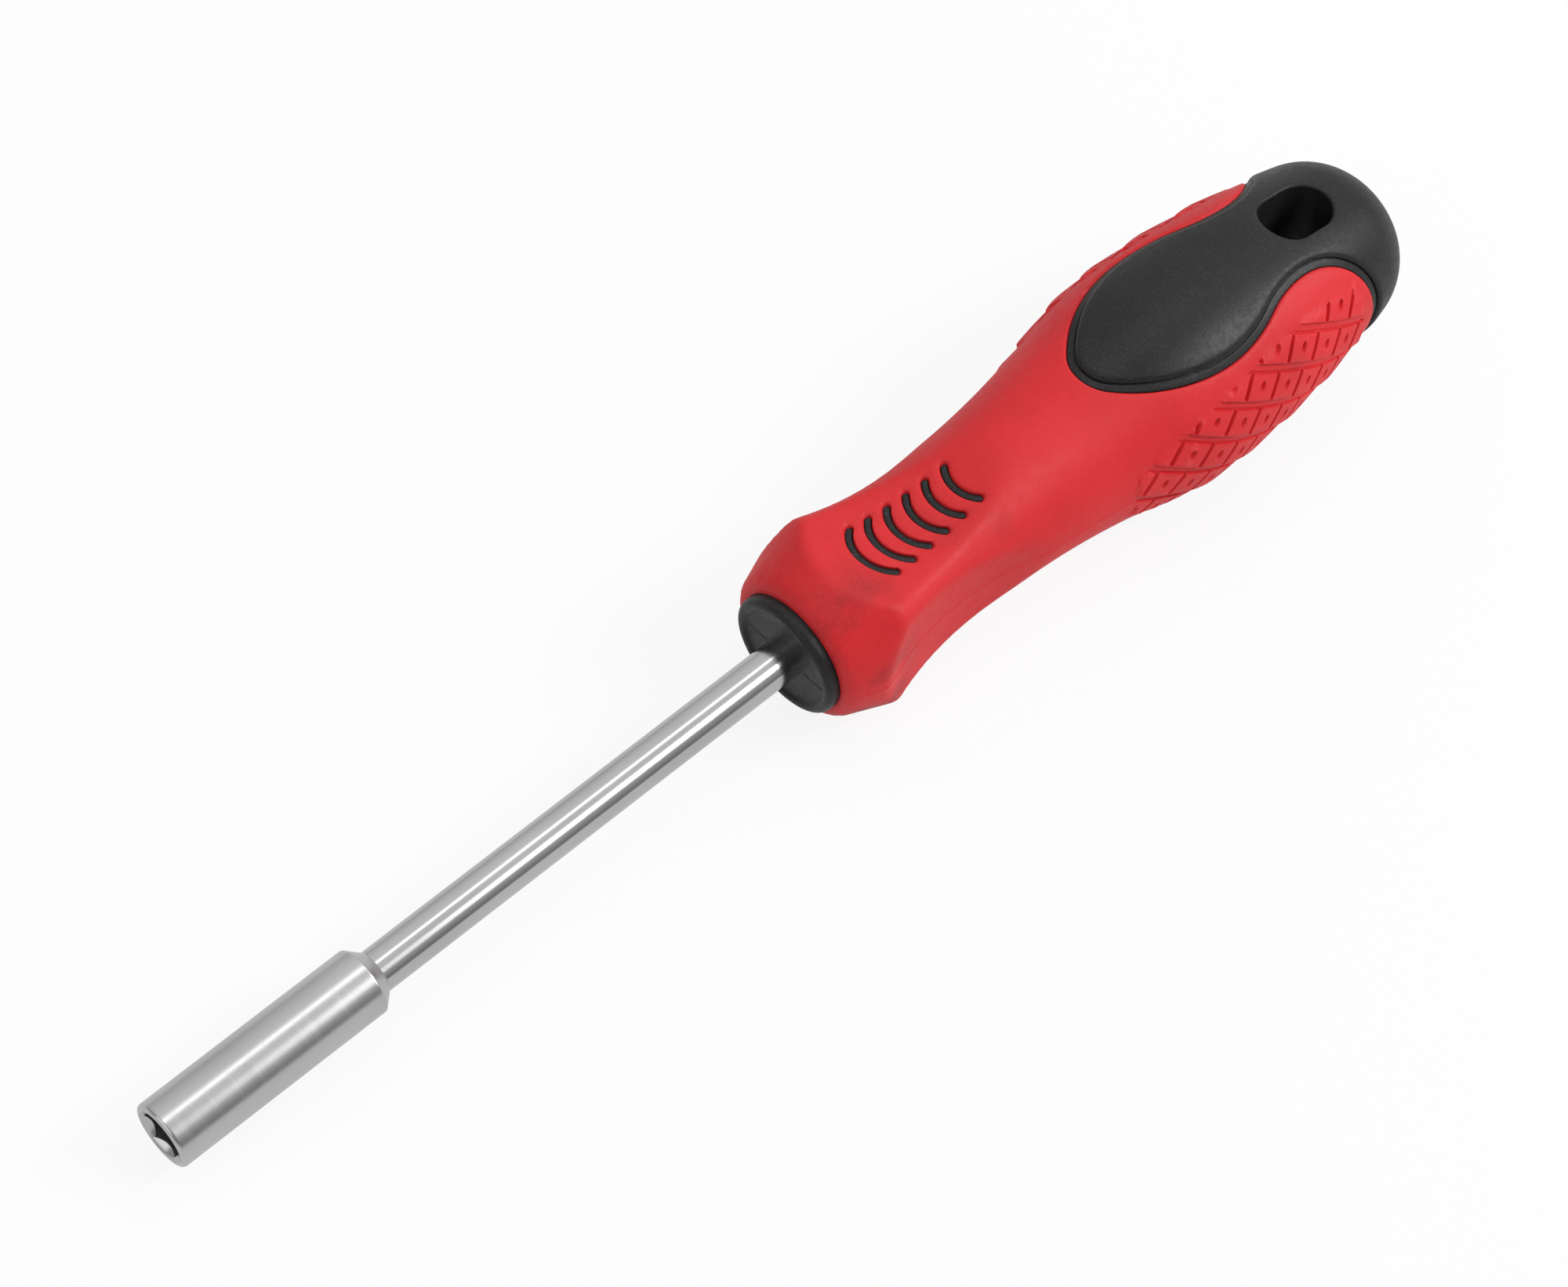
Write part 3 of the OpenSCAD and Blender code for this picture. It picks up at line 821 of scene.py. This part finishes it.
outside += [(cone_x + x, SOCKET_R + rise) for x, rise in FRONT_EDGE]
outside += [(socket_back_x + x, BAR_R + rise) for x, rise in REAR_EDGE]
outside += [(socket_back_x, SPIGOT_R), (bar_x - GAP, SPIGOT_R), (bar_x - GAP, 0.0)]
socket.turned(outside, SOCKET_RING)
turn = np.arange(SOCKET_RING) * 2 * math.pi / SOCKET_RING
to_flat = (turn + math.pi / 6) % (math.pi / 3) - math.pi / 6
hexagon = HEX_AF / 2 / np.cos(to_flat)
lead_slope = (LEAD_R - HEX_AF / 2) / LEAD_DEPTH
crease = socket_x + (LEAD_R - hexagon) / lead_slope
bore = [(socket_x, LEAD_R + LEAD_LIP), (socket_x + LIP_LEN, LEAD_R)]
bore += [(socket_x + (crease - socket_x) * s, LEAD_R + (hexagon - LEAD_R) * s) for s in LEAD_SHARES]
bore += [(crease + CREASE_LEN, hexagon - CREASE_DROP), (crease + CREASE_END, hexagon)]
bore += [(socket_x + HEX_DEPTH * s, hexagon) for s in HEX_SHARES]
bore += [(socket_x + HEX_DEPTH, POCKET_R), (pocket_end, POCKET_R), (pocket_end, 0.0)]
socket.rings([in_space(np.full(turn.shape, x), turn, r) for x, r in bore], inward=True)


class Nodes:
    """The shader nodes of a material or of the world."""

    def __init__(self, tree):
        self.tree = tree

    def node(self, kind, **values):
        """A new node, with plain values on its sockets."""
        made = self.tree.nodes.new(kind)
        for name, value in values.items():
            made.inputs[name].default_value = value
        return made

    def feed(self, target, source):
        """Leads a source to a socket; a plain number or colour sits on the socket."""
        if isinstance(source, (float, tuple)):
            target.default_value = source
        else:
            self.tree.links.new(source, target)

    def ramp(self, source, low, high, start=0.35, end=0.65):
        """Colours from low to high over part of a source's range."""
        made = self.node("ShaderNodeValToRGB")
        ends = made.color_ramp.elements
        ends[0].position, ends[1].position = start, end
        ends[0].color, ends[1].color = (*low, 1.0), (*high, 1.0)
        self.feed(made.inputs["Fac"], source)
        return made.outputs["Color"]

    def blend(self, share, a, b):
        """Colour a, and colour b where share is one."""
        made = self.tree.nodes.new("ShaderNodeMix")
        made.data_type = "RGBA"
        self.feed(made.inputs["Factor"], share)
        self.feed(made.inputs["A"], a)
        self.feed(made.inputs["B"], b)
        return next(o for o in made.outputs if o.type == "RGBA")

    def combine(self, operation, *sources):
        """The outcome of an arithmetic operation."""
        made = self.tree.nodes.new("ShaderNodeMath")
        made.operation = operation
        for target, source in zip(made.inputs, sources):
            self.feed(target, source)
        return made.outputs[0]


class Paint(Nodes):
    """A material under construction: a principled surface and the noises that feed it."""

    def __init__(self, name):
        self.material = bpy.data.materials.new(name)
        self.material.use_nodes = True
        super().__init__(self.material.node_tree)
        self.tree.nodes.clear()
        self.surface = self.node("ShaderNodeBsdfPrincipled")
        out = self.node("ShaderNodeOutputMaterial")
        self.feed(out.inputs["Surface"], self.surface.outputs["BSDF"])
        self.place = self.node("ShaderNodeTexCoord").outputs["Object"]

    def set(self, **values):
        """Feeds inputs of the surface; a name's underscores stand for spaces."""
        for name, source in values.items():
            self.feed(self.surface.inputs[name.replace("_", " ")], source)

    def noise(self, size, detail=3.0, stretch=(1.0, 1.0, 1.0)):
        """Noise with features of a size in millimetres, drawn out along the axes by stretch."""
        mapping = self.node("ShaderNodeMapping", Scale=[1.0 / s for s in stretch])
        self.feed(mapping.inputs["Vector"], self.place)
        made = self.node("ShaderNodeTexNoise", Scale=1.0 / (size * MM), Detail=detail)
        self.feed(made.inputs["Vector"], mapping.outputs["Vector"])
        return made.outputs["Fac"]

    def span(self, source, low, high, start=0.3, end=0.7):
        """Numbers from low to high over part of a source's range."""
        made = self.node("ShaderNodeMapRange")
        for name, value in (("From Min", start), ("From Max", end), ("To Min", low), ("To Max", high)):
            made.inputs[name].default_value = value
        self.feed(made.inputs["Value"], source)
        return made.outputs["Result"]

    def edges(self, start, end):
        """One on worn convex edges, nothing elsewhere."""
        pointiness = self.node("ShaderNodeNewGeometry").outputs["Pointiness"]
        return self.span(pointiness, 0.0, 1.0, start, end)

    def before(self, start, end, direction="X"):
        """One up to the first place in a direction, nothing past the second."""
        parts = self.node("ShaderNodeSeparateXYZ")
        self.feed(parts.inputs["Vector"], self.place)
        return self.span(parts.outputs[direction], 1.0, 0.0, start * MM, end * MM)

    def bumps(self, *layers):
        """Bump from noises, each with a strength and a depth in millimetres."""
        normal = None
        for source, strength, depth in layers:
            bump = self.node("ShaderNodeBump", Strength=strength, Distance=depth * MM)
            self.feed(bump.inputs["Height"], source)
            if normal:
                self.feed(bump.inputs["Normal"], normal)
            normal = bump.outputs["Normal"]
        self.set(Normal=normal)


# How far tool marks and stains are drawn out along X, Y and Z, and how dark stains are on steel
TURNED = (1.0, 60.0, 60.0)
DRAWN = (80.0, 1.0, 1.0)
LONG = (2.0, 1.0, 1.0)
STAIN = 0.92

# Where the dark smears on the grip fade out, along X and along Y
SMEAR_X = (ridge_x - 1.0, ridge_x + 4.0)
SMEAR_Y = (-5.0, 3.0)


def red_rubber():
    """Soft red rubber: clouds, handled patches, dark smears on one side of the flange, specks, scuffed
    edges.
    """
    paint = Paint("grip_rubber")
    broad = paint.noise(18.0, 4.0)
    clouds = paint.ramp(broad, (0.6, 0.016, 0.02), (0.67, 0.02, 0.025))
    handled = paint.ramp(broad, (0.46, 0.016, 0.02), (0.52, 0.018, 0.024))
    red = paint.blend(paint.span(paint.noise(11.0, 5.0), 0.0, 0.6, 0.58, 0.72), clouds, handled)
    # A darker red laid in noisy smears over the flange's front, on the -Y side only
    smear_red = paint.ramp(broad, (0.32, 0.014, 0.019), (0.38, 0.016, 0.022))
    smears = paint.span(paint.noise(7.0, 4.0, LONG), 0.0, 0.8, 0.46, 0.66)
    smears = paint.combine("MULTIPLY", smears, paint.before(*SMEAR_X))
    smears = paint.combine("MULTIPLY", smears, paint.before(*SMEAR_Y, "Y"))
    red = paint.blend(smears, red, smear_red)
    specks = paint.ramp(broad, (0.72, 0.034, 0.039), (0.76, 0.039, 0.044))
    red = paint.blend(paint.span(paint.noise(0.3, 2.0), 0.0, 0.45, 0.5, 0.75), red, specks)
    scuffs = paint.ramp(broad, (0.7, 0.04, 0.045), (0.74, 0.046, 0.052))
    paint.set(Base_Color=paint.blend(paint.edges(0.53, 0.66), red, scuffs))
    paint.set(Roughness=paint.span(paint.noise(1.4, 4.0), 0.48, 0.6), Specular_IOR_Level=0.3)
    paint.bumps((paint.noise(0.2, 2.0), 0.4, 0.02), (paint.noise(1.1), 0.1, 0.03))
    return paint.material


def black_plastic():
    """Hard black plastic: specks of its grain, and edges rubbed smoother and paler."""
    paint = Paint("core_plastic")
    broad = paint.noise(12.0, 4.0)
    plain = paint.ramp(broad, (0.011, 0.011, 0.0115), (0.016, 0.016, 0.0165))
    specks = paint.ramp(broad, (0.027, 0.027, 0.028), (0.036, 0.036, 0.037))
    black = paint.blend(paint.span(paint.noise(0.28, 2.0), 0.0, 0.8, 0.5, 0.72), plain, specks)
    rubbed = paint.ramp(broad, (0.035, 0.035, 0.037), (0.05, 0.05, 0.052))
    worn = paint.edges(0.54, 0.66)
    rough = paint.span(paint.noise(0.9, 4.0), 0.36, 0.48)
    paint.set(Base_Color=paint.blend(worn, black, rubbed), Specular_IOR_Level=0.26)
    paint.set(Roughness=paint.combine("MULTIPLY_ADD", worn, -0.14, rough))
    paint.bumps((paint.noise(0.26, 2.0), 0.7, 0.04), (paint.noise(2.5), 0.06, 0.04))
    return paint.material


def steel(name, tone, smooth, rough, lay):
    """Plated steel with fine tool marks; lay is how far they are drawn out along the axes."""
    paint = Paint(name)
    stained = [c * STAIN for c in tone]
    paint.set(Base_Color=paint.ramp(paint.noise(9.0, 4.0, LONG), stained, tone), Metallic=1.0)
    paint.set(Roughness=paint.span(paint.noise(1.2, 3.0, lay), smooth, rough))
    paint.bumps((paint.noise(0.5, 2.0, lay), 0.008, 0.003), (paint.noise(8.0, 2.0), 0.05, 0.01))
    return paint.material


grip_rubber = red_rubber()
core_plastic = black_plastic()
socket_steel = steel("socket_steel", (0.6, 0.6, 0.6), 0.24, 0.29, TURNED)
bar_steel = steel("bar_steel", (0.6, 0.6, 0.605), 0.14, 0.19, DRAWN)
magnet_metal = steel("magnet_metal", (0.4, 0.4, 0.41), 0.4, 0.55, TURNED)

grip.piece("soft_grip", grip_rubber, "grip_rubber", "grip_sleeve")
core.piece("hard_core", core_plastic, "core_plastic", "handle_core")
socket.piece("steel_socket", socket_steel, "socket_steel", "bit_socket", sharp=30.0)
for name, material in (("shaft", bar_steel), ("socket_magnet", magnet_metal)):
    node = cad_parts[name]
    node.data.materials.clear()
    node.data.materials.append(material)

# The floor touches the flange and the belly, as the tool lies on a table
FLOOR_HALF = 3.0
FLOOR_GAP = 0.0002
FLANGE_SAMPLES = 100
flange_places = np.linspace(front_x, ridge_x, FLANGE_SAMPLES)
flange_depths = surface_radius(flange_places, 0.0)
lowest = int(np.argmax(flange_depths))
flange = Vector((flange_places[lowest], 0.0, -flange_depths[lowest])) * MM
belly = Vector((belly_x, 0.0, -BELLY_R - PANEL_RISE)) * MM
lean = math.atan2(flange.z - belly.z, belly.x - flange.x)
floor_mesh = bpy.data.meshes.new("floor")
floor_mesh.from_pydata([(-FLOOR_HALF, -FLOOR_HALF, 0), (FLOOR_HALF, -FLOOR_HALF, 0),
                        (FLOOR_HALF, FLOOR_HALF, 0), (-FLOOR_HALF, FLOOR_HALF, 0)], [], [(0, 1, 2, 3)])
floor = bpy.data.objects.new("floor", floor_mesh)
floor.location = (flange + belly) / 2 - Vector((0.0, 0.0, FLOOR_GAP))
floor.rotation_euler = (0.0, lean, 0.0)
bpy.context.scene.collection.objects.link(floor)

# Its paper: white to the camera but for the shadows, a little darker in the steel's mirror
FLOOR_SHADE = 0.12
FLOOR_MIRRORED = 0.7
PAPER = (0.82, 0.82, 0.82, 1.0)
WHITE = (1.0, 1.0, 1.0, 1.0)
paper = bpy.data.materials.new("floor_paper")
paper.use_nodes = True
paper.node_tree.nodes.clear()
nodes = Nodes(paper.node_tree)
rays = nodes.node("ShaderNodeLightPath").outputs
seen = nodes.combine("MAXIMUM", rays["Is Camera Ray"], rays["Is Glossy Ray"])
glow = nodes.combine("MULTIPLY_ADD", rays["Is Glossy Ray"], FLOOR_MIRRORED, rays["Is Camera Ray"])
diffuse = nodes.node("ShaderNodeBsdfDiffuse", Color=PAPER)
white = nodes.node("ShaderNodeEmission", Color=WHITE)
nodes.feed(white.inputs["Strength"], glow)
mixed = nodes.node("ShaderNodeMixShader")
nodes.feed(mixed.inputs["Fac"], nodes.combine("MULTIPLY", seen, 1.0 - FLOOR_SHADE))
nodes.feed(mixed.inputs[1], diffuse.outputs["BSDF"])
nodes.feed(mixed.inputs[2], white.outputs["Emission"])
paper_out = nodes.node("ShaderNodeOutputMaterial")
nodes.feed(paper_out.inputs["Surface"], mixed.outputs["Shader"])
floor_mesh.materials.append(paper)

# The camera: where it stands, and its right and back directions
CAMERA_PLACE = (-0.12217, -0.21172, 0.4791)
CAMERA_RIGHT = (0.7274, -0.685, 0.0412)
CAMERA_BACK = (-0.3987, -0.373, 0.8378)
LENS = 99.9
SENSOR_W = 36.0
NEAR_CLIP = 0.01
camera_data = bpy.data.cameras.new("camera")
camera_data.lens = LENS
camera_data.sensor_width = SENSOR_W
camera_data.sensor_fit = "HORIZONTAL"
camera_data.clip_start = NEAR_CLIP
camera = bpy.data.objects.new("camera", camera_data)
back = Vector(CAMERA_BACK).normalized()
up = back.cross(Vector(CAMERA_RIGHT)).normalized()
right = up.cross(back)
stand = Matrix((right, up, back)).transposed().to_4x4()
stand.translation = CAMERA_PLACE
camera.matrix_world = stand
bpy.context.scene.collection.objects.link(camera)
bpy.context.scene.camera = camera

# Soft studio light: two long softboxes side by side over the tool, the right one fading toward the
# tip, and a weak one before the tip. Places are metres from the tool's middle.
MIDDLE = Vector((0.12, 0.0, 0.0))
AXIS = Vector((1.0, 0.0, 0.0))
ACROSS = Vector((0.0, 1.0, 0.0))


def softbox(name, place, side, length, width, power):
    """A rectangle of light that faces the tool, with its long side in a direction."""
    lamp = bpy.data.lights.new(name, "AREA")
    lamp.shape = "RECTANGLE"
    lamp.size, lamp.size_y = length, width
    lamp.energy = power
    obj = bpy.data.objects.new(name, lamp)
    away = (Vector(place) - side * side.dot(Vector(place))).normalized()
    stand = Matrix((side, away.cross(side), away)).transposed().to_4x4()
    stand.translation = MIDDLE + Vector(place)
    obj.matrix_world = stand
    bpy.context.scene.collection.objects.link(obj)


RIGHT_W = 0.34
RIGHT_SIDE = (-0.6, 0.72)
softbox("left_box", (0.4, 0.13, 0.905), AXIS, length=1.6, width=0.16, power=1.5)
softbox("right_box", (0.79, *RIGHT_SIDE), AXIS, length=0.82, width=RIGHT_W, power=9.6)
softbox("right_box_fade", (0.31, *RIGHT_SIDE), AXIS, length=0.14, width=RIGHT_W, power=0.34)
softbox("right_box_end", (0.16, *RIGHT_SIDE), AXIS, length=0.16, width=RIGHT_W, power=0.04)
softbox("front_box", (-0.8, 0.05, 0.45), ACROSS, length=0.9, width=0.5, power=1.3)

# The room: bright overhead and behind the handle, darker where the photographer stands, and plain
# white to the camera
BRIGHT_SIDE = (0.55, 0.28, 0.79)
ROOM_BRIGHT = (0.83, 0.83, 0.83)
ROOM_DARK = (0.22, 0.22, 0.22)
world = bpy.data.worlds.new("studio")
bpy.context.scene.world = world
world.use_nodes = True
nodes = Nodes(world.node_tree)
facing = nodes.node("ShaderNodeVectorMath")
facing.operation = "DOT_PRODUCT"
nodes.feed(facing.inputs[0], nodes.node("ShaderNodeTexCoord").outputs["Generated"])
nodes.feed(facing.inputs[1], BRIGHT_SIDE)
room = nodes.ramp(facing.outputs["Value"], ROOM_DARK, ROOM_BRIGHT, 0.0, 1.0)
rays = nodes.node("ShaderNodeLightPath").outputs
backdrop = nodes.blend(rays["Is Camera Ray"], room, WHITE)
nodes.feed(world.node_tree.nodes["Background"].inputs["Color"], backdrop)

bpy.context.scene.view_settings.view_transform = "Standard"
